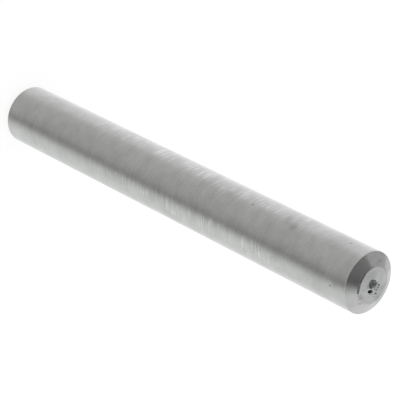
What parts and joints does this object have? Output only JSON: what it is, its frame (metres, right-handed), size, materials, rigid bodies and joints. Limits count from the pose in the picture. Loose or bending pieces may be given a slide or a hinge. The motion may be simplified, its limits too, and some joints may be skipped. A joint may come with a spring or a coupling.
{
  "type": "dowel pin",
  "caption": "Solid parallel steel dowel pin with a flat chamfer at each end, pressed or slid into a hole to locate two parts.",
  "frame": {"origin": "centre of the lower end face, where the pin stands", "axes": "+Z along the pin's axis, from the lower end to the upper end, whose face has the parting-off crater"},
  "size_m": [0.006, 0.006, 0.05],
  "materials": {
    "ground_steel": "ground all round, fine marks around the shank, turned end faces"
  },
  "bodies": {
    "root": {"pin": "ground_steel"}
  },
  "joints": []
}
